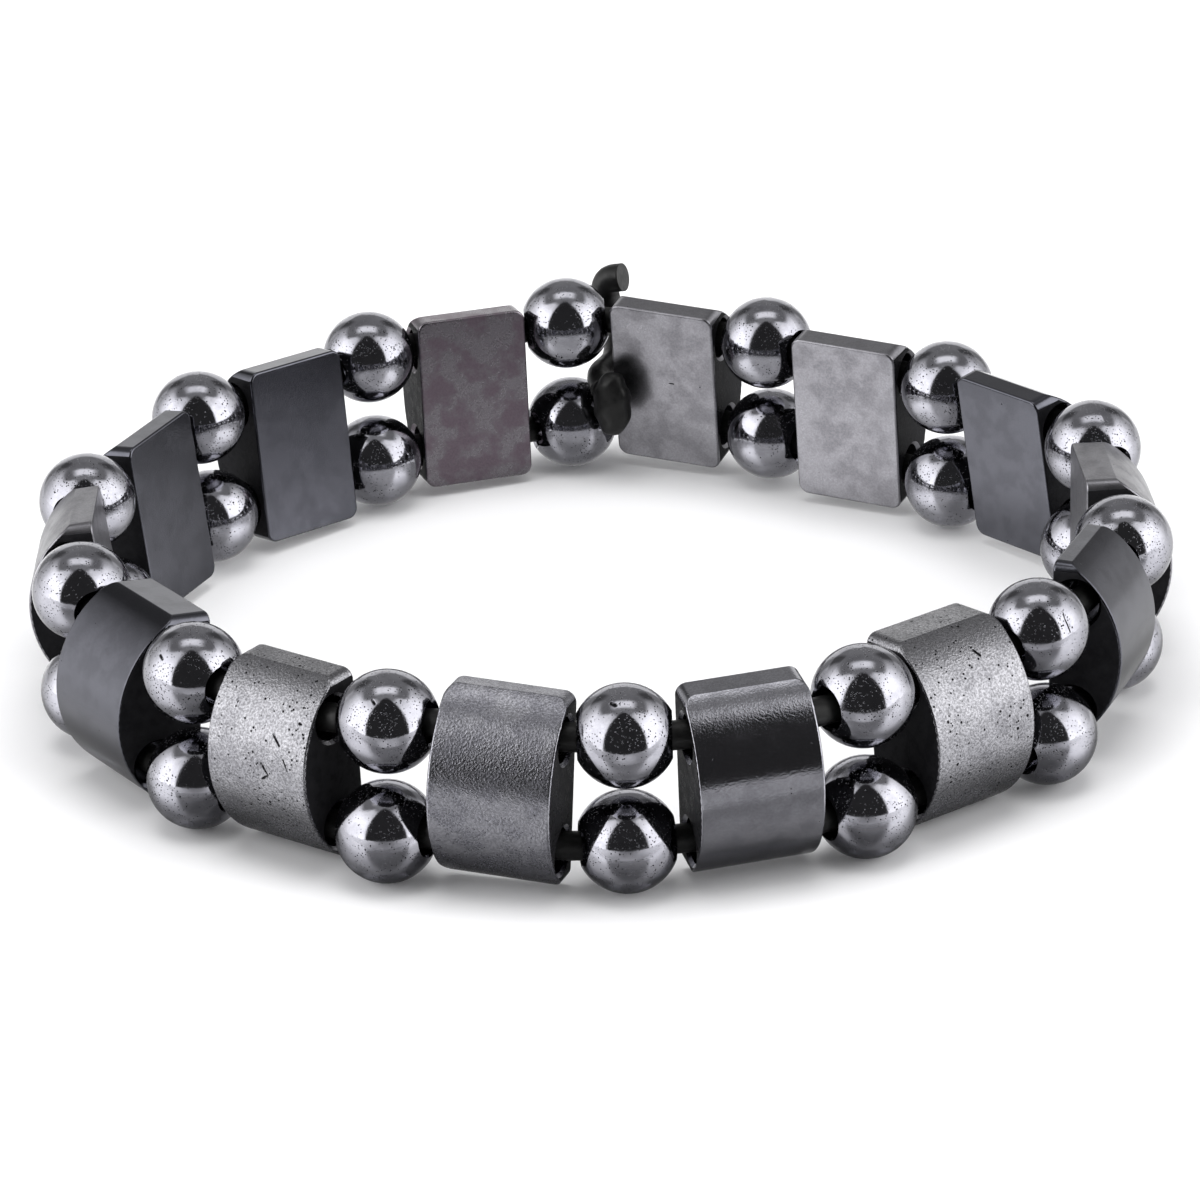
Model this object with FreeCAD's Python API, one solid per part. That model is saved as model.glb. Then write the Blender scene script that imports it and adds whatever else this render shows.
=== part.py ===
import FreeCAD, Part

import math
import os
from collections import namedtuple

# A stretch bracelet of polished magnetic stone, lying flat with its wrist opening upward.
# Half-barrel spacers with two holes alternate with pairs of round beads, and two elastic cords,
# one above the other, run through every piece. Lengths are in millimetres and angles in degrees.
# Z is up and zero is the surface that the lower beads rest on. The front of the bracelet is at -Y.

BEAD_DIAMETER = 6.0
BEAD_HOLE_DIAMETER = 2.4
BEAD_HOLE_BEVEL = 0.15

SPACER_HEIGHT = 11.4
SPACER_LENGTH = 7.3
SPACER_SHOULDER_FROM_HOLE = 0.5
SPACER_ARCH_RISE = 3.4
SPACER_CORNER_RADIUS = 0.7
SPACER_EDGE_RADIUS = 0.15
SPACER_HOLE_DIAMETER = 2.7
SPACER_HOLE_BEVEL = 0.2
SPACER_HOLE_SPACING = 6.7

CORD_DIAMETER = 1.7
# Each bend of a cord takes this share of the shorter run beside it.
CORD_BEND_SHARE = 0.45
# A cord bends in the gap between two pieces, this far over from the spacer's hole to the bead's.
CORD_BEND_PLACE = 0.7
# An arc passes inside its corner, so the corner is set outward by this share of that distance.
CORD_CORNER_SHARE = 0.7

# One row for each bead pair, counter-clockwise from the front. bearing and radius place the middle
# of the pair, low and high are the heights of its two bead centres, and the upper bead stands
# further out than the lower one by splay and further counter-clockwise by skew.
Pair = namedtuple("Pair", "bearing radius low high splay skew")
PAIRS = [
    Pair(-88.4, 31.7, 3.1, 9.8, 0.2, 0.1),
    Pair(-62.8, 31.8, 3.0, 9.9, -0.2, 0.1),
    Pair(-38.1, 32.3, 3.1, 9.7, -0.5, 0.0),
    Pair(-13.2, 32.0, 3.0, 9.3, 0.6, 0.3),
    Pair(12.4, 31.6, 3.0, 9.8, 0.3, -0.2),
    Pair(38.7, 29.3, 3.0, 9.6, -0.2, 0.0),
    Pair(66.4, 29.1, 3.3, 10.1, -0.9, -0.2),
    Pair(92.7, 31.5, 3.0, 10.1, -0.1, 0.1),
    Pair(118.4, 30.5, 3.0, 9.9, 1.0, -0.4),
    Pair(144.8, 30.7, 3.3, 10.0, 0.6, -0.1),
    Pair(170.7, 31.6, 3.0, 9.9, 0.9, -0.1),
    Pair(195.5, 32.2, 3.4, 9.9, 0.0, -0.1),
    Pair(220.6, 31.5, 3.0, 9.6, -0.4, -0.1),
    Pair(246.1, 31.2, 3.0, 9.7, -0.6, 0.2),
]

# One row for the spacer after each pair. It lies between its two pairs, moved outward by out, with
# its flat face inward of its holes by flat. It is turned about the vertical, leans outward at its
# top, tilts counter-clockwise at its top and hangs above the surface by lift.
Spacer = namedtuple("Spacer", "turn lean tilt lift out flat")
SPACERS = [
    Spacer(-1.0, 3.0, -0.7, 0.5, 0.0, 2.2),
    Spacer(-3.1, -4.6, 0.8, 0.4, -0.7, 3.1),
    Spacer(3.6, 1.8, 2.6, 0.8, -0.1, 1.5),
    Spacer(2.8, 0.9, 1.1, 0.4, 0.0, 2.4),
    Spacer(14.0, -7.6, 0.9, 0.9, -0.1, 1.8),
    Spacer(9.9, -6.2, -1.3, 0.8, -0.8, 2.0),
    Spacer(-13.8, -8.1, -2.1, 0.9, 0.4, 1.9),
    Spacer(1.2, 4.4, -1.2, 0.5, -0.1, 2.0),
    Spacer(-2.6, 7.5, -2.2, 0.4, -0.3, 2.1),
    Spacer(-5.8, 5.2, 0.9, 0.6, -0.4, 1.9),
    Spacer(-3.0, 6.3, -2.2, 1.0, -0.1, 1.9),
    Spacer(6.2, -10.2, 0.4, 0.5, 0.0, 2.9),
    Spacer(-1.4, 0.2, -0.7, 0.3, -0.5, 2.1),
    Spacer(-7.3, -5.5, 2.8, 0.7, -0.2, 1.8),
]

# The knot sits where the spacer before this pair meets it.
KNOT_PAIR = 7
KNOT_HALF_DEPTH = 1.0
KNOT_HALF_WIDTH = 1.35
KNOT_HALF_HEIGHT = 2.4
KNOT_STRAND_DIAMETER = 1.5

# The knot's lump and the route of its strand and tail. outward is counted from the line of the
# holes, beyond from the end of the spacer towards the pair, and height from the surface.
KnotPoint = namedtuple("KnotPoint", "outward beyond height")
KNOT_LUMP = KnotPoint(-3.4, -0.5, 5.4)
KNOT_ROUTE = [
    KnotPoint(-3.4, 0.2, 6.3),
    KnotPoint(-1.6, 1.2, 6.6),
    KnotPoint(1.2, 1.4, 6.6),
    KnotPoint(3.3, 1.8, 7.4),
    KnotPoint(3.6, 2.3, 9.2),
    KnotPoint(3.3, 2.2, 11.0),
    KnotPoint(2.9, 1.7, 11.8),
    KnotPoint(2.4, 0.8, 12.0),
]

BEAD_RADIUS = BEAD_DIAMETER / 2
UP = FreeCAD.Vector(0, 0, 1)
ALONG = FreeCAD.Vector(0, 1, 0)
OUTWARD = FreeCAD.Vector(1, 0, 0)


def outward_at(bearing):
    angle = math.radians(bearing)
    return FreeCAD.Vector(math.cos(angle), math.sin(angle), 0)


def along_at(bearing):
    return outward_at(bearing + 90)


def following(index):
    return (index + 1) % len(PAIRS)


def bevelled_bore(diameter, length, bevel):
    """A drill along Y, centred on the origin, that widens over the bevel at both of its ends."""
    radius = diameter / 2
    drill = Part.makeCylinder(radius, length, ALONG * (-length / 2), ALONG)
    for side in (-1, 1):
        mouth = ALONG * (side * length / 2)
        cone = Part.makeCone(radius + bevel, radius, bevel, mouth, ALONG * -side)
        drill = drill.fuse(cone)
    return drill


def make_bead():
    """A round bead with its hole along Y."""
    ball = Part.makeSphere(BEAD_RADIUS, FreeCAD.Vector(), ALONG)
    mouth_radius = BEAD_HOLE_DIAMETER / 2 + BEAD_HOLE_BEVEL
    bored_length = 2 * math.sqrt(BEAD_RADIUS ** 2 - mouth_radius ** 2)
    drill = bevelled_bore(BEAD_HOLE_DIAMETER, bored_length, BEAD_HOLE_BEVEL)
    clearing = Part.makeCylinder(mouth_radius, BEAD_DIAMETER, ALONG * (-BEAD_DIAMETER / 2), ALONG)
    core = Part.makeCylinder(mouth_radius, bored_length, ALONG * (-bored_length / 2), ALONG)
    return ball.cut(clearing.cut(core)).cut(drill)


def spacer_section(flat):
    """The outline across a spacer: a flat face towards the wrist and an arch outward."""
    half_height = SPACER_HEIGHT / 2
    shoulder = -SPACER_SHOULDER_FROM_HOLE
    crown = shoulder + SPACER_ARCH_RISE
    lower_inner = FreeCAD.Vector(-flat, 0, -half_height)
    lower_outer = FreeCAD.Vector(shoulder, 0, -half_height)
    upper_outer = FreeCAD.Vector(shoulder, 0, half_height)
    upper_inner = FreeCAD.Vector(-flat, 0, half_height)
    arch = Part.Arc(lower_outer, FreeCAD.Vector(crown, 0, 0), upper_outer)
    edges = [
        Part.LineSegment(lower_inner, lower_outer).toShape(),
        arch.toShape(),
        Part.LineSegment(upper_outer, upper_inner).toShape(),
        Part.LineSegment(upper_inner, lower_inner).toShape(),
    ]
    return Part.Face(Part.Wire(edges))


def rounded_block(flat):
    """A block whose four corners, seen from outside the ring, are rounded."""
    depth = 2 * (flat + SPACER_ARCH_RISE)
    corner = FreeCAD.Vector(-depth / 2, -SPACER_LENGTH / 2, -SPACER_HEIGHT / 2)
    block = Part.makeBox(depth, SPACER_LENGTH, SPACER_HEIGHT, corner)
    outward_edges = [
        edge for edge in block.Edges
        if abs(edge.tangentAt(edge.FirstParameter).dot(OUTWARD)) > 0.99
    ]
    return block.makeFillet(SPACER_CORNER_RADIUS, outward_edges)


def make_spacer(flat):
    """A spacer with its holes along Y; the origin lies midway between the two holes."""
    bar = spacer_section(flat).extrude(ALONG * SPACER_LENGTH)
    bar.translate(ALONG * (-SPACER_LENGTH / 2))
    blank = bar.common(rounded_block(flat))
    blank = blank.makeFillet(SPACER_EDGE_RADIUS, blank.Edges)
    for side in (-1, 1):
        drill = bevelled_bore(SPACER_HOLE_DIAMETER, SPACER_LENGTH, SPACER_HOLE_BEVEL)
        drill.translate(UP * (side * SPACER_HOLE_SPACING / 2))
        blank = blank.cut(drill)
    return blank


def spacer_placement(index):
    """Where the spacer after the pair of this index lies, as a placement of its local axes."""
    here = PAIRS[index]
    there = PAIRS[following(index)]
    spacer = SPACERS[index]
    sweep = (there.bearing - here.bearing) % 360
    bearing = here.bearing + sweep / 2
    radius = (here.radius + there.radius) / 2 + spacer.out
    centre = outward_at(bearing) * radius
    centre += UP * (spacer.lift + SPACER_HEIGHT / 2)
    rotation = FreeCAD.Rotation(UP, bearing + spacer.turn)
    rotation = rotation.multiply(FreeCAD.Rotation(OUTWARD, -spacer.tilt))
    rotation = rotation.multiply(FreeCAD.Rotation(ALONG, spacer.lean))
    return FreeCAD.Placement(centre, rotation)


def spacer_mouths(index, row):
    """Centres of a spacer hole's two ends, the clockwise one first; row is -1 or 1."""
    placement = spacer_placement(index)
    hole = UP * (row * SPACER_HOLE_SPACING / 2)
    reach = ALONG * (SPACER_LENGTH / 2)
    return placement.multVec(hole - reach), placement.multVec(hole + reach)


def bead_centre(index, row):
    """Centre of the lower (-1) or upper (1) bead of a pair."""
    pair = PAIRS[index]
    centre = outward_at(pair.bearing) * (pair.radius + row * pair.splay / 2)
    centre += along_at(pair.bearing) * (row * pair.skew / 2)
    return centre + UP * (pair.high if row > 0 else pair.low)


def bead_axis(index, row):
    """Direction of a bead's hole, from the spacer before it to the spacer after it."""
    arriving = spacer_mouths(index - 1, row)[1]
    leaving = spacer_mouths(index, row)[0]
    return (leaving - arriving).normalize()


def cord_corners(row):
    """Points where a cord's straight runs would meet, two for each bead."""
    corners = []
    for index in range(len(PAIRS)):
        centre = bead_centre(index, row)
        reach = bead_axis(index, row) * BEAD_RADIUS
        arriving = spacer_mouths(index - 1, row)[1]
        leaving = spacer_mouths(index, row)[0]
        corners.append(arriving + (centre - reach - arriving) * CORD_BEND_PLACE)
        corners.append(leaving + (centre + reach - leaving) * CORD_BEND_PLACE)
    inward = [middle - corner for corner, (_, middle, _, _) in zip(corners, bends_of(corners))]
    return [corner - step * CORD_CORNER_SHARE for corner, step in zip(corners, inward)]


def bend_at(before, corner, after):
    """The start, middle and end of the arc that rounds one corner, and the arc's radius."""
    back = before - corner
    ahead = after - corner
    tangent = CORD_BEND_SHARE * min(back.Length, ahead.Length)
    back.normalize()
    ahead.normalize()
    half_turn = (math.pi - back.getAngle(ahead)) / 2
    radius = tangent / math.tan(half_turn)
    inward = (back + ahead).normalize()
    sagitta = radius / math.cos(half_turn) - radius
    return corner + back * tangent, corner + inward * sagitta, corner + ahead * tangent, radius


def bends_of(corners):
    """The bend at each corner of a closed line of corners."""
    count = len(corners)
    return [bend_at(corners[i - 1], corners[i], corners[(i + 1) % count]) for i in range(count)]


def sweep_cord(edges):
    """A round cord along a chain of edges that run on from each other."""
    start = edges[0].firstVertex().Point
    heading = edges[0].tangentAt(edges[0].FirstParameter)
    profile = Part.Wire(Part.makeCircle(CORD_DIAMETER / 2, start, heading))
    return Part.Wire(edges).makePipeShell([profile], True, False)


def make_cord(row):
    """A closed elastic cord of straight runs joined by tangent arcs, swept as two halves."""
    bends = bends_of(cord_corners(row))
    count = len(bends)
    edges = []
    for i, (start, middle, end, radius) in enumerate(bends):
        edges.append(Part.Arc(start, middle, end).toShape())
        edges.append(Part.LineSegment(end, bends[(i + 1) % count][0]).toShape())
    tube = sweep_cord(edges[:count]).fuse(sweep_cord(edges[count:]))
    length = sum(edge.Length for edge in edges)
    area = math.pi * CORD_DIAMETER ** 2 / 4
    print("cord row", row, "length", round(length, 2), "smallest bend radius",
          round(min(bend[3] for bend in bends), 2), "volume over section times length",
          round(tube.Volume / (area * length), 4))
    return tube


def knot_point(point):
    """A point of the knot, in the frame of the place where the spacer meets the pair."""
    placement = spacer_placement(KNOT_PAIR - 1)
    end = placement.multVec(ALONG * (SPACER_LENGTH / 2))
    heading = placement.Rotation.multVec(ALONG)
    heading.z = 0
    heading.normalize()
    outward = heading.cross(UP)
    level = FreeCAD.Vector(end.x, end.y, 0)
    return level + outward * point.outward + heading * point.beyond + UP * point.height


def make_strand(points, diameter):
    """Straight runs of cord with a ball at each bend and a flat cut at each end."""
    radius = diameter / 2
    strand = None
    for here, there in zip(points, points[1:]):
        run = Part.makeCylinder(radius, (there - here).Length, here, there - here)
        strand = run if strand is None else strand.fuse(run)
    for bend in points[1:-1]:
        strand = strand.fuse(Part.makeSphere(radius, bend))
    return strand


def make_knot():
    """The lump on the wrist side, with one strand that passes between the beads and ends in a tail."""
    placement = spacer_placement(KNOT_PAIR - 1)
    lump = Part.makeSphere(1.0)
    stretch = FreeCAD.Matrix()
    stretch.scale(KNOT_HALF_DEPTH, KNOT_HALF_WIDTH, KNOT_HALF_HEIGHT)
    lump = lump.transformGeometry(stretch)
    yaw = FreeCAD.Rotation(UP, placement.Rotation.multVec(OUTWARD).getAngle(OUTWARD) * 180 / math.pi)
    lump.Placement = FreeCAD.Placement(knot_point(KNOT_LUMP), yaw)
    route = [knot_point(point) for point in KNOT_ROUTE]
    return lump.fuse(make_strand(route, KNOT_STRAND_DIAMETER)).removeSplitter()


def place_beads(shapes):
    bead = make_bead()
    for row, name in ((-1, "lower_bead"), (1, "upper_bead")):
        for index in range(len(PAIRS)):
            rotation = FreeCAD.Rotation(ALONG, bead_axis(index, row))
            placed = bead.copy()
            placed.Placement = FreeCAD.Placement(bead_centre(index, row), rotation)
            shapes[f"{name}_{index:02d}"] = placed


def place_spacers(shapes):
    for index, spacer in enumerate(SPACERS):
        placed = make_spacer(spacer.flat)
        placed.Placement = spacer_placement(index)
        shapes[f"spacer_{index:02d}"] = placed


def centre_on_origin(shapes):
    """Moves everything so that the middle of the whole box, at the surface, is the origin."""
    bounds = FreeCAD.BoundBox()
    for shape in shapes.values():
        bounds.add(shape.optimalBoundingBox(False))
    shift = FreeCAD.Vector(-bounds.Center.x, -bounds.Center.y, -bounds.ZMin)
    for shape in shapes.values():
        shape.translate(shift)
    print("shift to the origin", [round(value, 4) for value in shift])
    print("size", round(bounds.XLength, 3), round(bounds.YLength, 3), round(bounds.ZLength, 3))


def main():
    shapes = {}
    place_spacers(shapes)
    place_beads(shapes)
    shapes["lower_cord"] = make_cord(-1)
    shapes["upper_cord"] = make_cord(1)
    shapes["knot"] = make_knot()
    centre_on_origin(shapes)
    os.makedirs("parts", exist_ok=True)
    for name, shape in shapes.items():
        if not shape.isValid() or len(shape.Solids) != 1:
            raise ValueError(f"{name} isn't one valid solid")
        shape.exportStep(f"parts/{name}.step")
    print("solids", len(shapes), "volume", round(sum(s.Volume for s in shapes.values()), 1))


main()
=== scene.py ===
import math
from typing import NamedTuple

import bmesh
import bpy
from mathutils import Matrix, Vector


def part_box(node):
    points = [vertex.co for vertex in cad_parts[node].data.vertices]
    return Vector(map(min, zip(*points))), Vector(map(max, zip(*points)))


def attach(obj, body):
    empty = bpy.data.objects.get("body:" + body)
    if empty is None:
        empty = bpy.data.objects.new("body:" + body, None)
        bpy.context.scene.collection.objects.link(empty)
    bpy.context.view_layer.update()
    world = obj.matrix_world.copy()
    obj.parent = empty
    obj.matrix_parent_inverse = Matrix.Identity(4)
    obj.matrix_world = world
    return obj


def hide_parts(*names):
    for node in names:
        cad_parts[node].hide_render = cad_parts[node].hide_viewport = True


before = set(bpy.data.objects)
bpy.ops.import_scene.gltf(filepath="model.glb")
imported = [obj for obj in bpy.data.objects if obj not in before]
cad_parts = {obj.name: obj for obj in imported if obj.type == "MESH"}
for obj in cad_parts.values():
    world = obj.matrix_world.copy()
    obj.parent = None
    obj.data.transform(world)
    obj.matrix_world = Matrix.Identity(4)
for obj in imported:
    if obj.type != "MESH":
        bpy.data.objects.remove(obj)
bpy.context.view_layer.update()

# Looks for the magnetic bracelet. Lengths are in metres in the frame of the part: Z up, the
# surface it lies on at zero, the front of the bracelet at -Y.
MM = 0.001

# The bracelet
STATION_COUNT = 14
RING_RADIUS = 31.5 * MM
# A face counts as an end face when it looks along the ring at least this squarely.
END_FACE_LIMIT = 0.93

# The camera, fitted to the photograph. Angles are in degrees, lens and sensor in millimetres.
CAMERA_AIM = Vector((-0.18, -5.54, 6.0)) * MM
CAMERA_DISTANCE = 340 * MM
CAMERA_ELEVATION = 24.15
CAMERA_ROLL = -2.59
CAMERA_LENS = 167.8
CAMERA_SENSOR = 36.0
CAMERA_NEAR = 10 * MM
CAMERA_FAR = 10.0


class Finish(NamedTuple):
    """How one kind of stone surface looks. Sizes are in millimetres."""
    colour: tuple
    roughness: float
    grain: float
    haze: float
    pit_spacing: float
    pit_radius: float
    pit_share: float
    stain: tuple


# Polished magnetic stone reflects about a third of the light that meets it head on, ground or
# worn stone less, and the smooth dark spacers about a tenth.
FINISHES = {
    "bead": Finish((0.30, 0.299, 0.328), 0.10, 0.08, 0.03, 0.14, 0.045, 1.0, (0.25, 0.249, 0.276)),
    "mirror": Finish((0.28, 0.279, 0.305), 0.13, 0.35, 0.04, 0.40, 0.05, 0.2, (0.23, 0.229, 0.252)),
    "satin": Finish((0.265, 0.264, 0.288), 0.24, 0.75, 0.04, 0.40, 0.05, 0.2, (0.20, 0.199, 0.223)),
    "ground": Finish((0.205, 0.204, 0.217), 0.27, 1.0, 0.05, 0.28, 0.08, 0.6, (0.18, 0.179, 0.192)),
    "smooth": Finish((0.086, 0.087, 0.101), 0.17, 0.12, 0.03, 0.50, 0.04, 0.15, (0.073, 0.074, 0.086)),
    "worn": Finish((0.225, 0.222, 0.238), 0.34, 0.25, 0.05, 0.50, 0.05, 0.1, (0.195, 0.192, 0.207)),
    "purple": Finish((0.18, 0.166, 0.183), 0.30, 0.25, 0.05, 0.50, 0.05, 0.1, (0.145, 0.116, 0.138)),
}
# How each spacer was left by the polishing, by station.
SPACER_FINISH = (
    "mirror", "ground", "smooth", "worn", "smooth", "worn", "worn",
    "purple", "smooth", "smooth", "worn", "smooth", "ground", "satin",
)

# Texture of the stones. A pair of numbers is where a change begins and ends, or its two results.
# Most values of a noise lie within NOISE_REACH.
NOISE_REACH = (0.3, 0.7)
CLOUD_SIZE = 1.6 * MM
CLOUD_EDGE = (0.42, 0.62)
HAZE_EDGE = (0.35, 0.7)
SPECKLE_SIZE = 0.13 * MM
SPECKLE_CONTRAST = 0.34
SPECKLE_ROUGHNESS = 0.07
GRAIN_HEIGHT = 0.026 * MM

# Pits come in two sizes. The coarse ones are given as multiples of a finish's own fine ones.
# Pits and nicks are real hollows; their near-black colour is painted shade.
PIT_SHADE_COLOUR = (0.010, 0.010, 0.011)
PIT_ROUGHNESS = 0.4
PIT_CLUSTER_SIZE = 1.4 * MM
PIT_CHANCES = (0.15, 1.6)
PIT_SIZES = (0.35, 1.0)
PIT_RIM = (0.75, 1.05)
COARSE_PIT_SPACING = 1.9
COARSE_PIT_RADIUS = 1.3
COARSE_PIT_SHARE = 0.6


class Mark(NamedTuple):
    """A nick or scratch between two points of the frame, in millimetres."""
    start: tuple
    end: tuple
    half_width: float


# The nicks, gouges and hairlines that can be made out in the photograph.
MARKS = {
    "bead": (
        Mark((0.2, -34.0, 12.4), (0.4, -34.2, 12.4), 0.13),
        Mark((26.2, -22.1, 12.1), (26.5, -22.9, 11.3), 0.04),
        Mark((26.5, -22.9, 11.3), (26.8, -23.1, 10.5), 0.04),
        Mark((-13.2, -31.1, 11.9), (-13.1, -31.3, 11.8), 0.10),
        Mark((-25.6, -22.8, 11.5), (-25.5, -23.1, 11.4), 0.09),
    ),
    "ground": (
        Mark((-19.9, -28.2, 6.9), (-19.5, -28.5, 6.3), 0.08),
        Mark((-19.5, -28.5, 6.3), (-19.9, -28.3, 6.0), 0.07),
        Mark((-19.1, -28.2, 8.7), (-18.8, -28.7, 8.2), 0.08),
        Mark((-18.6, -29.1, 7.5), (-18.4, -29.4, 6.9), 0.05),
        Mark((21.0, -25.2, 10.6), (21.4, -25.3, 10.3), 0.09),
    ),
    "worn": (Mark((5.0, 27.3, 6.7), (5.3, 27.2, 6.7), 0.05),),
}
# The rim of a mark in shares of its half width, and how ragged the mark is along its run.
MARK_RIM = (0.6, 1.2)
RAGGED_SIZE = 0.25 * MM
RAGGED_EDGE = (0.3, 0.5)
RAGGED_DEPTHS = (0.5, 1.0)

# The end faces of the spacers: near-black and dull, painted shade between spacer and bead
END_SHADE_DARK = (0.006, 0.006, 0.007)
END_SHADE_LIGHT = (0.024, 0.024, 0.026)
END_SHADE_GLOSS = 0.01
END_FACE_ROUGHNESS = (0.22, 0.4)
END_SHADE_CLOUD_SIZE = 0.8 * MM
END_FACE_BUMP_SIZE = 0.12 * MM
END_FACE_BUMP = 0.6

# The elastic cord
CORD_DARK = (0.003, 0.003, 0.003)
CORD_LIGHT = (0.010, 0.010, 0.010)
CORD_GLOSS = 0.25
CORD_ROUGHNESS = (0.32, 0.5)
CORD_SHADE_SIZE = 0.5 * MM
CORD_BUMP_SIZE = 0.2 * MM
CORD_BUMP = 0.4
# The bumps of cord and unpolished stone are this deep at full strength.
BUMP_HEIGHT = 0.03 * MM

# The knot is described from the point where a spacer meets the bead pair beside the tail:
# outward from the wrist, beyond the spacer, and height above the table, all in millimetres.
KNOT_PLACE = Vector((2.161, 30.749, 0.0))
KNOT_OUTWARD = Vector((0.4107, 0.9118, 0.0))
KNOT_BEYOND = Vector((-0.9118, 0.4107, 0.0))
KNOT_LUMP = (-3.4, -0.5, 5.4)
KNOT_HALF_SIZES = (1.0, 1.35, 2.4)
KNOT_WRAPS = 3
KNOT_WRAP_DEPTH = 0.07
KNOT_WRAP_SLANT = 0.35
LUMP_SEGMENTS = 48
LUMP_RINGS = 32


class StrandPoint(NamedTuple):
    """A point on the centre line of the knot's strand and tail, with the strand's radius there."""
    outward: float
    beyond: float
    height: float
    radius: float


KNOT_STRAND = (
    StrandPoint(-3.4, 0.2, 6.3, 0.75),
    StrandPoint(-1.6, 1.2, 6.6, 0.75),
    StrandPoint(1.2, 1.4, 6.6, 0.75),
    StrandPoint(3.3, 2.0, 7.4, 0.80),
    StrandPoint(3.6, 2.5, 9.2, 0.90),
    StrandPoint(3.4, 2.7, 10.5, 0.95),
    StrandPoint(3.3, 2.3, 11.4, 0.95),
    StrandPoint(3.3, 1.3, 11.7, 0.95),
)
STRAND_STEPS = 6
STRAND_SIDES = 24

# The floor, and a soft lamp above it
FLOOR_HALF_WIDTH = 4.0
FLOOR_COLOUR = (0.86, 0.86, 0.87, 1.0)
FLOOR_ROUGHNESS = 0.6
LAMP_POWER = 3.0
LAMP_SIZE = 0.6
LAMP_HEIGHT = 0.7

# The white table as the stones reflect it. It ends in a low lip a little way in front of them.
TABLE_FRONT = -46 * MM
TABLE_BACK = 250 * MM
TABLE_HALF_WIDTH = 160 * MM
TABLE_LIFT = 0.01 * MM
LIP_FRONT = -53 * MM
LIP_HEIGHT = 5 * MM
TABLE_COLOUR = (0.72, 0.72, 0.73)
TABLE_METALLIC = 0.7
TABLE_ROUGHNESS = 0.27
# It is dim within a few millimetres of the ring that stands on it.
SHADE_EDGE = (5 * MM, 10 * MM)
SHADE_LEFT = 0.55
# It glows a little more behind the front of the ring, where the inside of the ring is bright.
GLOW_EDGE = (-30 * MM, 5 * MM)
GLOW = (0.05, 0.5)

# The light tent by direction, in degrees: side angles are measured from straight in front, and
# rises from level. A pair of angles is where a change of light begins and ends.
TENT_COLOUR = (1.0, 1.0, 1.0, 1.0)
OPENING_LIGHT = 0.05
OPENING_HALF_WIDTH = 47
OPENING_TOP = 77
OPENING_ROUNDING = 3
OPENING_EDGE = (0.88, 1.12)
PANEL_LIGHT = 3.1
PANEL_BACK_LIGHT = 0.35
PANEL_FADE_BACK = (80, 135)
PANEL_FRONT_SHARE = 0.7
PANEL_FRONT_EDGE = (42, 56)
PANEL_UPPER_SHARE = 0.5
PANEL_FADE_UP = (30, 58)
PANEL_TOPS = (66, 47)
PANEL_TOP_SLOPE = (60, 95)
PANEL_TOP_EDGE = (-7, 5)
GAP_LIGHT = 0.38
CEILING_LIGHT = 0.5
CEILING_EDGE = (66, 74)
BACKDROP_LIGHT = 1.2
BACKDROP_SIDE = (125, 140)
BACKDROP_TOP = (20, 24)
BACK_BAND_LIGHT = 0.42
BACK_BAND_TOP = (47, 53)
CORNER_GAP_MIDDLE = 146
CORNER_GAP_EDGE = (5, 14)
CORNER_GAP_TOP = (36, 52)
CORNER_GAP_SHARE = 0.35

# The bright patch overhead, in parts of a direction of length one
OVERHEAD_LIGHT = 1.6
OVERHEAD_BACK = 0.13
OVERHEAD_SIDE_EDGE = (0.2, 0.45)
OVERHEAD_END_EDGE = (0.08, 0.22)
OVERHEAD_LOWER_EDGE = (0.6, 0.8)

# What the camera sees past the floor
BACKGROUND_COLOUR = (0.95, 0.95, 0.96, 1.0)


def feed(tree, socket, value):
    """Gives a socket its value: a link where the value is another socket, else plain numbers."""
    if isinstance(value, bpy.types.NodeSocket):
        tree.links.new(value, socket)
    else:
        socket.default_value = value


def add(tree, kind, **values):
    """A new node with its properties and its inputs set by name."""
    node = tree.nodes.new(kind)
    for name, value in values.items():
        if name in node.inputs:
            feed(tree, node.inputs[name], value)
        else:
            setattr(node, name, value)
    return node


def maths(tree, operation, first, second=0):
    """One calculation on one or two numbers, each a socket or a plain value."""
    node = add(tree, "ShaderNodeMath", operation=operation)
    feed(tree, node.inputs[0], first)
    feed(tree, node.inputs[1], second)
    return node.outputs[0]


def product(tree, first, *others):
    """Numbers multiplied with each other."""
    for other in others:
        first = maths(tree, "MULTIPLY", first, other)
    return first


def total(tree, first, *others):
    """Numbers added together."""
    for other in others:
        first = maths(tree, "ADD", first, other)
    return first


def vectors(tree, operation, first, second):
    """One calculation on two vectors, each a socket or plain numbers."""
    node = add(tree, "ShaderNodeVectorMath", operation=operation)
    feed(tree, node.inputs[0], first)
    feed(tree, node.inputs[1], second)
    return node


def scaled(tree, vector, factor):
    """A vector or a colour times a number."""
    node = add(tree, "ShaderNodeVectorMath", operation="SCALE", Scale=factor)
    feed(tree, node.inputs[0], vector)
    return node.outputs["Vector"]


def spread(tree, value, reach, results):
    """A value carried from one range to another with smooth ends."""
    node = add(tree, "ShaderNodeMapRange", interpolation_type="SMOOTHSTEP", Value=value)
    for name, number in zip(("From Min", "From Max", "To Min", "To Max"), (*reach, *results)):
        node.inputs[name].default_value = number
    return node.outputs["Result"]


def rising(tree, value, edge):
    """0 before an edge and 1 after it."""
    return spread(tree, value, edge, (0.0, 1.0))


def falling(tree, value, edge):
    """1 before an edge and 0 after it."""
    return spread(tree, value, edge, (1.0, 0.0))


def blend(tree, share, first, second):
    """The first number where the share is 0, the second where it is 1."""
    node = add(tree, "ShaderNodeMix", data_type="FLOAT")
    for slot, value in ((0, share), (2, first), (3, second)):
        feed(tree, node.inputs[slot], value)
    return node.outputs[0]


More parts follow.
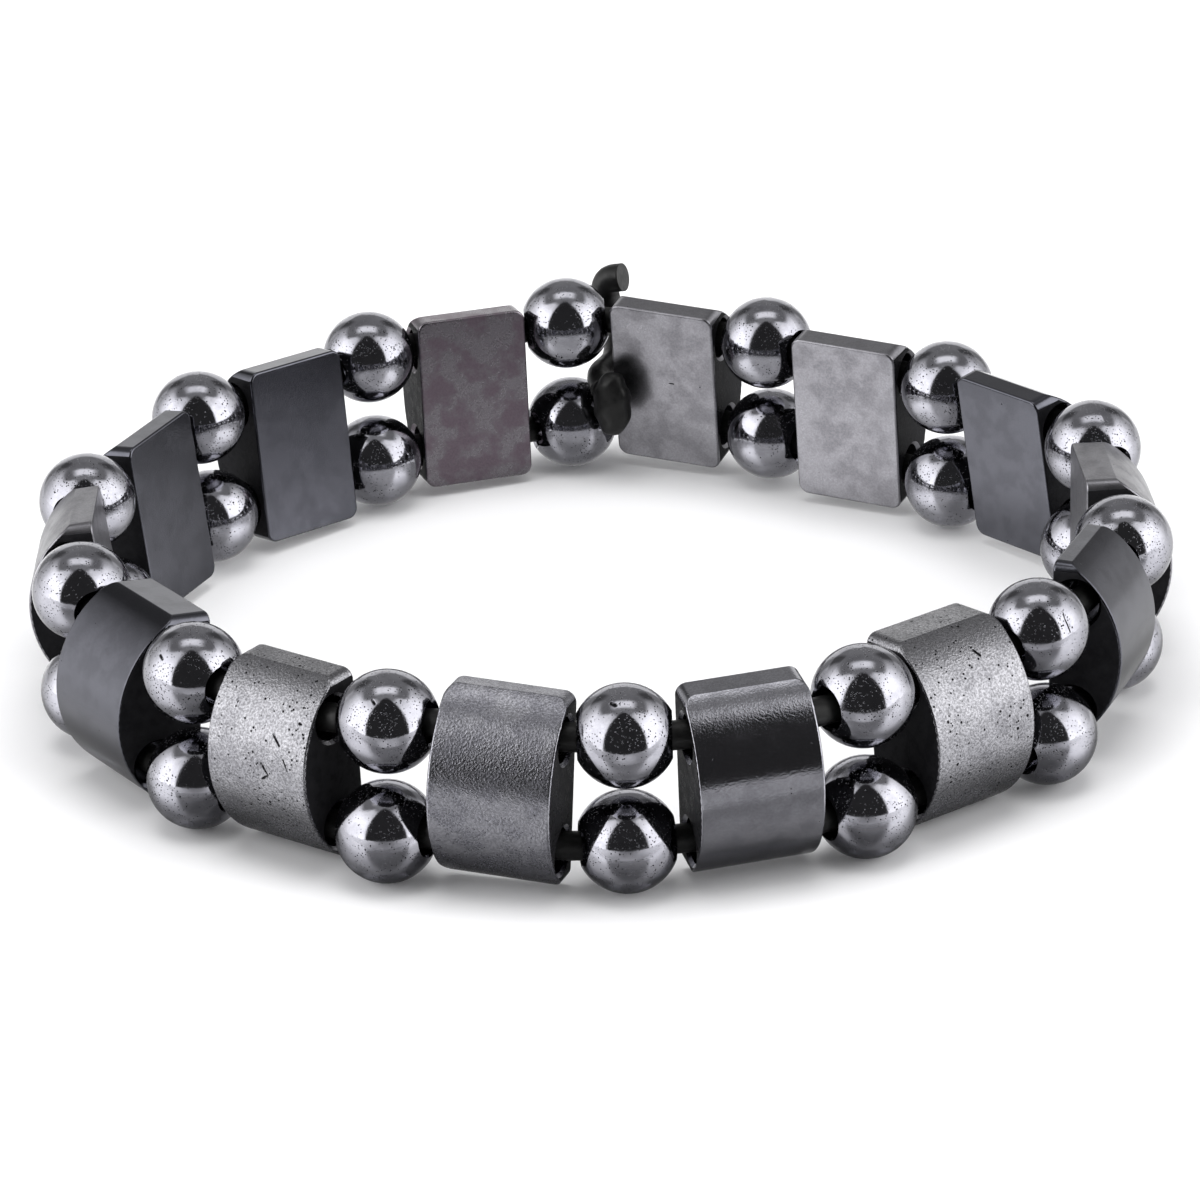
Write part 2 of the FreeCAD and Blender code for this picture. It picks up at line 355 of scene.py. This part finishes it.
def mix_colours(tree, share, first, second):
    """The first colour where the share is 0, the second where it is 1; each a socket or plain."""
    node = add(tree, "ShaderNodeMix", data_type="RGBA")
    feed(tree, node.inputs[0], share)
    for slot, colour in ((6, first), (7, second)):
        if isinstance(colour, tuple):
            colour = (*colour, 1.0)
        feed(tree, node.inputs[slot], colour)
    return node.outputs[2]


def noise(tree, place, size, detail=2.0, roughness=0.5):
    """Cloudy noise whose patches are about this size across."""
    cloud = add(tree, "ShaderNodeTexNoise", Vector=place, Scale=1 / size)
    cloud.inputs["Detail"].default_value = detail
    cloud.inputs["Roughness"].default_value = roughness
    return cloud.outputs["Fac"]


def bumped(tree, height, strength, depth):
    """The direction of a surface that is uneven by this height, to this depth."""
    return add(tree, "ShaderNodeBump", Height=height, Strength=strength, Distance=depth).outputs["Normal"]


def new_surface(name, **values):
    """A new material with its node tree, its piece's own coordinates and its shader."""
    material = bpy.data.materials.new(name)
    material.use_nodes = True
    tree = material.node_tree
    tree.nodes.clear()
    place = add(tree, "ShaderNodeTexCoord").outputs["Object"]
    shader = add(tree, "ShaderNodeBsdfPrincipled", **values)
    add(tree, "ShaderNodeOutputMaterial", Surface=shader.outputs[0])
    return material, tree, place, shader


def pits(tree, place, cluster, spacing, radius, share):
    """1 inside small round pits, 0 elsewhere; only a share of the cells has one, in clusters."""
    cells = add(tree, "ShaderNodeTexVoronoi", Vector=place, Scale=1 / spacing, Randomness=1.0)
    chances = add(tree, "ShaderNodeSeparateColor", Color=cells.outputs["Color"])
    limit = product(tree, spread(tree, cluster, CLOUD_EDGE, PIT_CHANCES), share)
    chosen = maths(tree, "LESS_THAN", chances.outputs[0], limit)
    size = spread(tree, chances.outputs[1], (0.0, 1.0), PIT_SIZES)
    ratio = maths(tree, "DIVIDE", cells.outputs["Distance"], product(tree, size, radius / spacing))
    return product(tree, falling(tree, ratio, PIT_RIM), chosen)


def mark_share(tree, place, mark):
    """1 along a nick or scratch, 0 away from it."""
    start = Vector(mark.start) * MM
    run = Vector(mark.end) * MM - start
    offset = vectors(tree, "SUBTRACT", place, start).outputs["Vector"]
    along = vectors(tree, "DOT_PRODUCT", offset, run / run.length_squared).outputs["Value"]
    along = maths(tree, "MINIMUM", maths(tree, "MAXIMUM", along, 0), 1)
    gap = vectors(tree, "DISTANCE", offset, scaled(tree, run, along)).outputs["Value"]
    half_width = mark.half_width * MM
    return falling(tree, gap, [share * half_width for share in MARK_RIM])


def hollows(tree, place, finish, marks):
    """1 in pits and along nicks and scratches, 0 on the sound surface."""
    cluster = noise(tree, place, PIT_CLUSTER_SIZE)
    spacing = finish.pit_spacing * MM
    radius = finish.pit_radius * MM
    share = finish.pit_share
    fine = pits(tree, place, cluster, spacing, radius, share)
    spacing *= COARSE_PIT_SPACING
    radius *= COARSE_PIT_RADIUS
    share *= COARSE_PIT_SHARE
    coarse = pits(tree, place, cluster, spacing, radius, share)
    hole = maths(tree, "MAXIMUM", coarse, fine)
    ragged = spread(tree, noise(tree, place, RAGGED_SIZE), RAGGED_EDGE, RAGGED_DEPTHS)
    for mark in marks:
        hole = maths(tree, "MAXIMUM", hole, product(tree, mark_share(tree, place, mark), ragged))
    return hole


def stone_material(name, finish, marks):
    """Dark polished stone with pits and nicks painted black as shade in their hollows, stains, a ground
    grain and faint cloudy haze.
    """
    material, tree, place, stone = new_surface(name, Metallic=1.0)
    hole = hollows(tree, place, finish, marks)
    cloud = noise(tree, place, CLOUD_SIZE, 3.0, 0.6)
    speckle = noise(tree, place, SPECKLE_SIZE, 2.0, 0.6)

    stained = mix_colours(tree, rising(tree, cloud, CLOUD_EDGE), finish.colour, finish.stain)
    # Painted shade: pits and nicks near-black in their hollows.
    pit_shaded = mix_colours(tree, hole, stained, PIT_SHADE_COLOUR)
    contrast = finish.grain * SPECKLE_CONTRAST
    shade = spread(tree, speckle, NOISE_REACH, (1 - contrast, 1 + contrast))
    feed(tree, stone.inputs["Base Color"], scaled(tree, pit_shaded, shade))

    hazy = spread(tree, cloud, HAZE_EDGE, (-finish.haze, finish.haze))
    fleck = finish.grain * SPECKLE_ROUGHNESS
    flecked = spread(tree, speckle, NOISE_REACH, (fleck, -fleck))
    rough = total(tree, hazy, flecked, finish.roughness, product(tree, hole, PIT_ROUGHNESS))
    feed(tree, stone.inputs["Roughness"], rough)

    height = maths(tree, "SUBTRACT", product(tree, speckle, finish.grain), hole)
    feed(tree, stone.inputs["Normal"], bumped(tree, height, 1.0, GRAIN_HEIGHT))
    return material


def end_shade_material():
    """Near-black stone for the spacers' end faces, dull and with fine pits: painted shade between spacer
    and bead.
    """
    material, tree, place, stone = new_surface("end_shade_stone")
    stone.inputs["Specular IOR Level"].default_value = END_SHADE_GLOSS
    cloud = noise(tree, place, END_SHADE_CLOUD_SIZE, 4.0, 0.6)
    colour = mix_colours(tree, cloud, END_SHADE_DARK, END_SHADE_LIGHT)
    feed(tree, stone.inputs["Base Color"], colour)
    feed(tree, stone.inputs["Roughness"], spread(tree, cloud, NOISE_REACH, END_FACE_ROUGHNESS))
    rubble = noise(tree, place, END_FACE_BUMP_SIZE)
    feed(tree, stone.inputs["Normal"], bumped(tree, rubble, END_FACE_BUMP, BUMP_HEIGHT))
    return material


def cord_material():
    """Black elastic with a soft sheen and a faint unevenness."""
    material, tree, place, rubber = new_surface("black_elastic")
    rubber.inputs["Specular IOR Level"].default_value = CORD_GLOSS
    shade = noise(tree, place, CORD_SHADE_SIZE, 3.0)
    feed(tree, rubber.inputs["Base Color"], mix_colours(tree, shade, CORD_DARK, CORD_LIGHT))
    feed(tree, rubber.inputs["Roughness"], spread(tree, shade, NOISE_REACH, CORD_ROUGHNESS))
    weave = noise(tree, place, CORD_BUMP_SIZE)
    feed(tree, rubber.inputs["Normal"], bumped(tree, weave, CORD_BUMP, BUMP_HEIGHT))
    return material


def table_material():
    """Glossy white table as the stones reflect it: dim under the bracelet, brighter inside it."""
    material, tree, place, surface = new_surface("reflected_table")
    surface.inputs["Metallic"].default_value = TABLE_METALLIC
    surface.inputs["Roughness"].default_value = TABLE_ROUGHNESS
    surface.inputs["Emission Color"].default_value = (1.0, 1.0, 1.0, 1.0)
    parts = add(tree, "ShaderNodeSeparateXYZ", Vector=place).outputs
    squares = total(tree, product(tree, parts["X"], parts["X"]), product(tree, parts["Y"], parts["Y"]))
    from_ring = maths(tree, "SUBTRACT", maths(tree, "SQRT", squares), RING_RADIUS)
    clear = spread(tree, maths(tree, "ABSOLUTE", from_ring), SHADE_EDGE, (SHADE_LEFT, 1.0))
    feed(tree, surface.inputs["Base Color"], mix_colours(tree, clear, (0.0, 0.0, 0.0), TABLE_COLOUR))
    glow = spread(tree, parts["Y"], GLOW_EDGE, GLOW)
    feed(tree, surface.inputs["Emission Strength"], product(tree, glow, clear))
    return material


def floor_material():
    """The plain pale floor."""
    material, _, _, surface = new_surface("floor_white", Roughness=FLOOR_ROUGHNESS)
    surface.inputs["Base Color"].default_value = FLOOR_COLOUR
    return material


def put_in_scene(name, data):
    """A new object with this data, linked to the scene."""
    piece = bpy.data.objects.new(name, data)
    bpy.context.scene.collection.objects.link(piece)
    return piece


def dress(node, material):
    """Gives a CAD node its material."""
    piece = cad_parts[node]
    piece.data.materials.clear()
    piece.data.materials.append(material)


def darken_ends(node, material):
    """The drilled end faces of a spacer get their own near-black material: painted shade between spacer
    and bead.
    """
    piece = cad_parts[node]
    low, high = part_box(node)
    centre = (Vector(low) + Vector(high)) / 2
    along = Vector((-centre.y, centre.x, 0.0)).normalized()
    turn = piece.matrix_world.to_3x3()
    piece.data.materials.append(material)
    for polygon in piece.data.polygons:
        if abs((turn @ polygon.normal).dot(along)) > END_FACE_LIMIT:
            polygon.material_index = 1


def dress_pieces():
    """Materials on every bead, spacer and cord, and the knot in place of its solid."""
    stones = {}
    for name, finish in FINISHES.items():
        stones[name] = stone_material(f"{name}_stone", finish, MARKS.get(name, ()))
    end_shade = end_shade_material()
    for index in range(STATION_COUNT):
        for row in ("lower", "upper"):
            dress(f"{row}_bead_{index:02d}", stones["bead"])
        spacer = f"spacer_{index:02d}"
        dress(spacer, stones[SPACER_FINISH[index]])
        # The end faces get painted shade.
        darken_ends(spacer, end_shade)
    rubber = cord_material()
    for node in ("lower_cord", "upper_cord"):
        dress(node, rubber)
    build_knot(rubber)


def knot_point(outward, beyond, height):
    """A place in the frame from the knot's own measures."""
    return (KNOT_PLACE + KNOT_OUTWARD * outward + KNOT_BEYOND * beyond + Vector((0, 0, height))) * MM


def even_curve(before, here, there, after, t):
    """One number of an even curve between here and there."""
    slope_here = (there - before) / 2
    slope_there = (after - here) / 2
    rise = there - here
    square = 3 * rise - 2 * slope_here - slope_there
    cube = slope_here + slope_there - 2 * rise
    return here + slope_here * t + square * t ** 2 + cube * t ** 3


def smooth_route(points):
    """The strand's points joined by an even curve through all of them, with its radius."""
    route = []
    last = len(points) - 1
    for index in range(last):
        before = points[max(index - 1, 0)]
        here = points[index]
        there = points[index + 1]
        after = points[min(index + 2, last)]
        for step in range(STRAND_STEPS):
            t = step / STRAND_STEPS
            values = [even_curve(*four, t) for four in zip(before, here, there, after)]
            route.append(StrandPoint(*values))
    route.append(points[last])
    return route


def strand_ring(mesh, centre, heading, radius):
    """The corners around one point of the strand, square to its heading."""
    turn = heading.to_track_quat("Z", "Y")
    ring = []
    for side in range(STRAND_SIDES):
        angle = 2 * math.pi * side / STRAND_SIDES
        spoke = turn @ Vector((math.cos(angle), math.sin(angle), 0.0))
        ring.append(mesh.verts.new(centre + spoke * radius))
    return ring


def add_strand(mesh):
    """A round strand along its route with a flat cut at each end."""
    route = smooth_route(KNOT_STRAND)
    centres = [knot_point(point.outward, point.beyond, point.height) for point in route]
    last = len(route) - 1
    rings = []
    for index, point in enumerate(route):
        heading = centres[min(index + 1, last)] - centres[max(index - 1, 0)]
        rings.append(strand_ring(mesh, centres[index], heading, point.radius * MM))
    for ring, following in zip(rings, rings[1:]):
        for side in range(STRAND_SIDES):
            beside = (side + 1) % STRAND_SIDES
            mesh.faces.new((ring[side], ring[beside], following[beside], following[side]))
    mesh.faces.new(list(reversed(rings[0])))
    mesh.faces.new(rings[-1])


def add_lump(mesh):
    """The knot lump: an upright oval with the shallow grooves of its wraps."""
    ball = bmesh.ops.create_uvsphere(mesh, u_segments=LUMP_SEGMENTS, v_segments=LUMP_RINGS, radius=1.0)
    for vertex in ball["verts"]:
        outward, beyond, height = vertex.co
        groove = math.cos(2 * math.pi * KNOT_WRAPS * (height + KNOT_WRAP_SLANT * beyond) / 2)
        share = 1 - KNOT_WRAP_DEPTH * (1 - groove) / 2
        measures = zip(KNOT_LUMP, (outward, beyond, height), KNOT_HALF_SIZES)
        vertex.co = knot_point(*[middle + value * half * share for middle, value, half in measures])


def build_knot(rubber):
    """A smoother knot in place of the solid, with the same form."""
    shape = bmesh.new()
    add_strand(shape)
    add_lump(shape)
    for face in shape.faces:
        face.smooth = len(face.verts) < STRAND_SIDES
    bmesh.ops.recalc_face_normals(shape, faces=shape.faces)
    mesh = bpy.data.meshes.new("knot_detail")
    shape.to_mesh(mesh)
    shape.free()
    mesh.materials.append(rubber)
    piece = put_in_scene("knot_detail", mesh)
    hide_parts("knot")
    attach(piece, "root")


def card(name, corners, material):
    """A flat four-cornered card of the stage, in the frame's own coordinates."""
    mesh = bpy.data.meshes.new(name)
    mesh.from_pydata([Vector(corner) for corner in corners], [], [(0, 1, 2, 3)])
    mesh.materials.append(material)
    piece = put_in_scene(name, mesh)
    return piece


def level_card(name, half_width, front, back, height, material):
    """A level card, as far to the left as to the right."""
    corners = [(-half_width, front, height), (half_width, front, height)]
    corners += [(half_width, back, height), (-half_width, back, height)]
    return card(name, corners, material)


def show_in_reflections_only(piece):
    """Leaves a card to the reflections in the stones."""
    piece.visible_camera = False
    piece.visible_shadow = False
    piece.visible_diffuse = False
    piece.visible_transmission = False


def build_reflected_table():
    """The table top and its lip as they show in the stones."""
    glossy = table_material()
    side = TABLE_HALF_WIDTH
    table = level_card("table_top", side, TABLE_FRONT, TABLE_BACK, TABLE_LIFT, glossy)
    upper_edge = [(-side, LIP_FRONT, LIP_HEIGHT), (side, LIP_FRONT, LIP_HEIGHT)]
    lower_edge = [(side, TABLE_FRONT, 0.0), (-side, TABLE_FRONT, 0.0)]
    lip = card("table_lip", upper_edge + lower_edge, glossy)
    show_in_reflections_only(table)
    show_in_reflections_only(lip)


def build_lamp():
    """A wide soft lamp straight above, which the stones don't reflect."""
    lamp = bpy.data.lights.new("top_fill", "AREA")
    lamp.shape = "DISK"
    lamp.size = LAMP_SIZE
    lamp.energy = LAMP_POWER
    fill = put_in_scene("top_fill", lamp)
    fill.location = (0.0, 0.0, LAMP_HEIGHT)
    fill.visible_glossy = False
    fill.visible_camera = False


def build_stage():
    """Floor, the table as the stones reflect it, and the lamp."""
    side = FLOOR_HALF_WIDTH
    floor = level_card("floor", side, -side, side, 0.0, floor_material())
    floor.visible_glossy = False
    build_reflected_table()
    build_lamp()


def panel_light(tree, side, rise):
    """Side panels: brightest beside the opening, fading upwards and towards the back."""
    light = spread(tree, side, PANEL_FADE_BACK, (PANEL_LIGHT, PANEL_BACK_LIGHT))
    by_opening = spread(tree, side, PANEL_FRONT_EDGE, (PANEL_FRONT_SHARE, 1.0))
    upwards = spread(tree, rise, PANEL_FADE_UP, (1.0, PANEL_UPPER_SHARE))
    top = spread(tree, side, PANEL_TOP_SLOPE, PANEL_TOPS)
    below_top = falling(tree, maths(tree, "SUBTRACT", rise, top), PANEL_TOP_EDGE)
    return product(tree, light, by_opening, upwards, below_top)


def ceiling_light(tree, across, back, up, rise):
    """What the ceiling adds, with a brighter patch overhead."""
    ceiling = spread(tree, rise, CEILING_EDGE, (0.0, CEILING_LIGHT - GAP_LIGHT))
    sides = falling(tree, across, OVERHEAD_SIDE_EDGE)
    from_middle = maths(tree, "ABSOLUTE", maths(tree, "SUBTRACT", back, OVERHEAD_BACK))
    ends = falling(tree, from_middle, OVERHEAD_END_EDGE)
    patch = product(tree, sides, ends, spread(tree, up, OVERHEAD_LOWER_EDGE, (0.0, OVERHEAD_LIGHT)))
    return total(tree, ceiling, patch)


def with_backdrop(tree, light, side, rise):
    """The backdrop: white near the table, a dark band above it."""
    behind = rising(tree, side, BACKDROP_SIDE)
    below_top = falling(tree, rise, BACK_BAND_TOP)
    backdrop = spread(tree, rise, BACKDROP_TOP, (BACKDROP_LIGHT, BACK_BAND_LIGHT))
    return blend(tree, product(tree, behind, below_top), light, backdrop)


def with_corner_gaps(tree, light, side, rise):
    """A dark upright gap on each side between the panel and the backdrop."""
    from_middle = maths(tree, "ABSOLUTE", maths(tree, "SUBTRACT", side, CORNER_GAP_MIDDLE))
    inside = falling(tree, from_middle, CORNER_GAP_EDGE)
    below_top = falling(tree, rise, CORNER_GAP_TOP)
    taken = product(tree, inside, below_top, 1 - CORNER_GAP_SHARE)
    return product(tree, light, maths(tree, "SUBTRACT", 1, taken))


def with_opening(tree, light, side, rise):
    """The dark opening in front, with upright sides and a rounded top."""
    across = maths(tree, "POWER", maths(tree, "DIVIDE", side, OPENING_HALF_WIDTH), OPENING_ROUNDING)
    height = maths(tree, "MAXIMUM", maths(tree, "DIVIDE", rise, OPENING_TOP), 0)
    oval = total(tree, across, maths(tree, "POWER", height, OPENING_ROUNDING))
    return blend(tree, falling(tree, oval, OPENING_EDGE), light, OPENING_LIGHT)


def tent_light(tree):
    """How bright the tent is in each direction: opening, side panels, ceiling and backdrop."""
    direction = add(tree, "ShaderNodeTexCoord").outputs["Generated"]
    parts = add(tree, "ShaderNodeSeparateXYZ", Vector=direction).outputs
    across = maths(tree, "ABSOLUTE", parts["X"])
    forward = maths(tree, "MULTIPLY", parts["Y"], -1)
    side = maths(tree, "DEGREES", maths(tree, "ARCTAN2", across, forward))
    rise = maths(tree, "DEGREES", maths(tree, "ARCSINE", parts["Z"]))
    light = total(tree, panel_light(tree, side, rise), GAP_LIGHT)
    light = total(tree, light, ceiling_light(tree, across, parts["Y"], parts["Z"], rise))
    light = with_backdrop(tree, light, side, rise)
    light = with_corner_gaps(tree, light, side, rise)
    return with_opening(tree, light, side, rise)


def build_world():
    """The light tent for stones and floor; plain white where the camera sees past the floor."""
    world = bpy.data.worlds.new("studio")
    bpy.context.scene.world = world
    world.use_nodes = True
    tree = world.node_tree
    tree.nodes.clear()
    tent = add(tree, "ShaderNodeBackground", Color=TENT_COLOUR, Strength=tent_light(tree))
    background = add(tree, "ShaderNodeBackground", Color=BACKGROUND_COLOUR, Strength=1.0)
    seen_directly = add(tree, "ShaderNodeLightPath").outputs["Is Camera Ray"]
    mix = add(tree, "ShaderNodeMixShader")
    for slot, value in enumerate((seen_directly, tent.outputs[0], background.outputs[0])):
        feed(tree, mix.inputs[slot], value)
    add(tree, "ShaderNodeOutputWorld", Surface=mix.outputs[0])


def build_camera():
    """The photograph's viewpoint: in front and a little above, with a long lens."""
    elevation = math.radians(CAMERA_ELEVATION)
    roll = math.radians(CAMERA_ROLL)
    forward = Vector((0.0, math.cos(elevation), -math.sin(elevation)))
    right = Vector((1.0, 0.0, 0.0))
    up = right.cross(forward)
    rolled_right = right * math.cos(roll) + up * math.sin(roll)
    rolled_up = up * math.cos(roll) - right * math.sin(roll)
    turn = Matrix((rolled_right, rolled_up, -forward)).transposed()
    data = bpy.data.cameras.new("camera")
    data.lens = CAMERA_LENS
    data.sensor_width = CAMERA_SENSOR
    data.clip_start = CAMERA_NEAR
    data.clip_end = CAMERA_FAR
    camera = put_in_scene("camera", data)
    camera.matrix_world = Matrix.Translation(CAMERA_AIM - forward * CAMERA_DISTANCE) @ turn.to_4x4()
    bpy.context.scene.camera = camera


dress_pieces()
build_stage()
build_world()
build_camera()
bpy.context.scene.view_settings.view_transform = "Standard"
